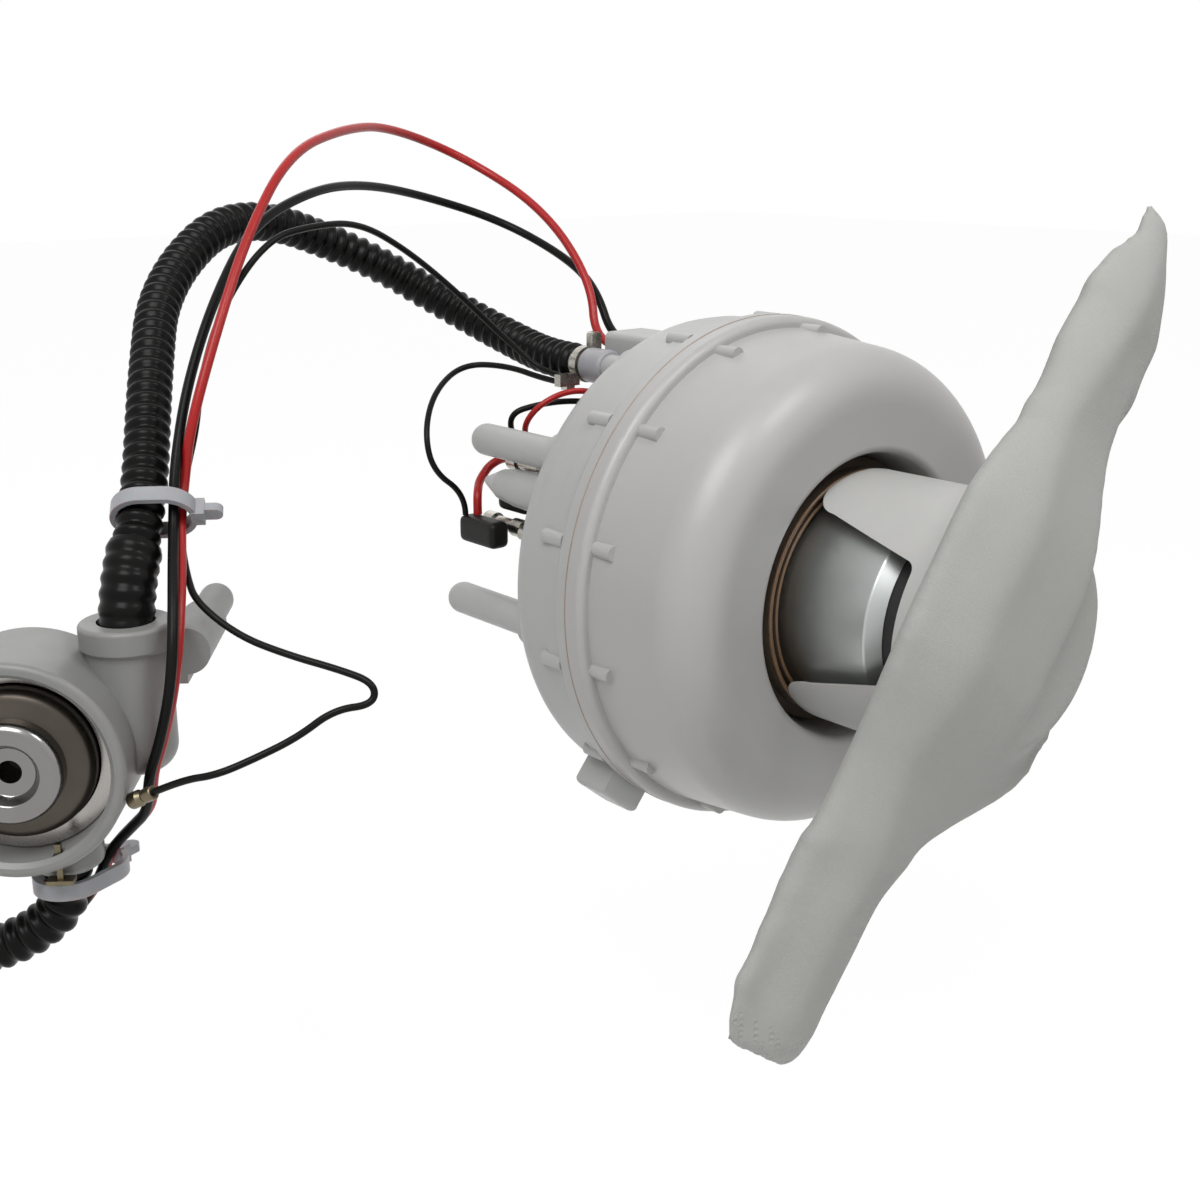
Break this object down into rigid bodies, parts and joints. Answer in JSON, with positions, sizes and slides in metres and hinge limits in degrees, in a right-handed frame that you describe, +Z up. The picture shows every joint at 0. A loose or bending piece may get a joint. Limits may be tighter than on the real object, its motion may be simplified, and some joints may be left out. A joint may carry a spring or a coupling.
{
  "type": "fuel pump module",
  "caption": "In-tank fuel pump module: round filter canister with caged electric pump and felt strainer, looped ribbed hose and wires to a separate pressure regulator housing.",
  "frame": {"origin": "centre of the round seat on the rear of the canister cap", "axes": "+Y out of the seat, along the canister and pump axis away from the strainer; +Z up, along the row of the outlet nozzle; +X to the right seen from the rear of the strainer"},
  "size_m": [0.2591, 0.1786, 0.1667],
  "materials": {
    "shell_plastic": "pale grey moulded plastic, satin",
    "white_plastic": "off-white moulded plastic, satin",
    "dark_plastic": "black moulded plastic",
    "hose_plastic": "black ribbed plastic hose",
    "steel_can": "plated steel can",
    "regulator_steel": "dull brown-grey plated steel",
    "bright_steel": "bright pressed steel",
    "spring_steel": "spring steel",
    "laminated_steel": "stacked steel sheets",
    "copper": "copper",
    "brass_metal": "brass",
    "tin": "tinned brass",
    "magnet": "sintered ferrite",
    "carbon": "pressed carbon",
    "rubber_black": "black rubber",
    "paper": "resin-treated filter paper",
    "felt": "off-white pressed felt",
    "red_insulation": "red cable insulation",
    "black_insulation": "black cable insulation",
    "tie_plastic": "translucent white nylon",
    "valve_plastic": "grey moulded plastic"
  },
  "bodies": {
    "module": {"canister_cap": "shell_plastic", "canister_bowl": "shell_plastic", "filter_media": "paper", "filter_end_cap_rear": "dark_plastic", "filter_end_cap_front": "dark_plastic", "pump_casing": "steel_can", "pump_inlet_cover": "dark_plastic", "pump_chamber_plate": "dark_plastic", "front_bearing": "brass_metal", "rear_bearing": "brass_metal", "stator_magnets": "magnet", "pump_outlet_cover": "dark_plastic", "brush_spring_right": "spring_steel", "brush_spring_left": "spring_steel", "check_valve_guide": "valve_plastic", "check_valve_spring": "spring_steel", "relief_valve_spring": "spring_steel", "relief_valve_retainer": "brass_metal", "pump_outlet_seal": "rubber_black", "pump_isolator": "rubber_black", "pump_cage": "white_plastic", "strainer_bag": "felt", "strainer_frame": "white_plastic", "cap_terminals": "brass_metal", "spade_upper": "tin", "spade_lower": "tin", "boot_upper": "rubber_black", "boot_lower": "rubber_black", "earth_ring": "tin", "regulator_housing": "white_plastic", "regulator_body": "regulator_steel", "regulator_front_cap": "bright_steel", "regulator_spring": "spring_steel", "regulator_retainer": "spring_steel", "regulator_earth_pin": "brass_metal", "feed_hose": "hose_plastic", "feed_hose_cuff": "rubber_black", "red_wire": "red_insulation", "black_wire": "black_insulation", "return_hose": "hose_plastic", "earth_lead": "black_insulation", "cap_lead": "black_insulation", "red_pigtail": "red_insulation", "black_pigtail": "black_insulation", "red_jumper": "red_insulation", "earth_crimp": "brass_metal", "feed_hose_tie": "tie_plastic", "return_hose_tie": "tie_plastic", "return_connector": "dark_plastic", "wire_plug": "dark_plastic"},
    "rotor": {"armature_shaft": "spring_steel", "armature_core": "laminated_steel", "armature_windings": "copper", "commutator": "copper", "impeller": "dark_plastic"},
    "brush_right": {"brush_right": "carbon"},
    "brush_left": {"brush_left": "carbon"},
    "check_valve": {"check_valve": "valve_plastic"},
    "relief_valve": {"relief_valve": "valve_plastic"},
    "regulator_valve": {"regulator_valve": "valve_plastic"}
  },
  "joints": [
    {"name": "rotor_spin", "type": "hinge", "parent": "module", "child": "rotor", "pos_m": [0, -0.06, 0], "axis": [0, -1, 0], "continuous": true},
    {"name": "brush_right_slide", "type": "slide", "parent": "module", "child": "brush_right", "axis": [1, 0, 0], "range_m": [0, 0.0015], "stiffness_N_per_m": 300, "deforming": ["brush_spring_right"]},
    {"name": "brush_left_slide", "type": "slide", "parent": "module", "child": "brush_left", "axis": [-1, 0, 0], "range_m": [0, 0.0015], "stiffness_N_per_m": 300, "deforming": ["brush_spring_left"]},
    {"name": "check_valve_lift", "type": "slide", "parent": "module", "child": "check_valve", "axis": [0, 1, 0], "range_m": [0, 0.0018], "stiffness_N_per_m": 400, "deforming": ["check_valve_spring"]},
    {"name": "relief_valve_lift", "type": "slide", "parent": "module", "child": "relief_valve", "axis": [0, 1, 0], "range_m": [0, 0.0012], "stiffness_N_per_m": 2500, "deforming": ["relief_valve_spring"]},
    {"name": "regulator_valve_lift", "type": "slide", "parent": "module", "child": "regulator_valve", "axis": [-0.6, -0.8, 0], "range_m": [0, 0.0008], "stiffness_N_per_m": 9000, "deforming": ["regulator_spring"]}
  ]
}
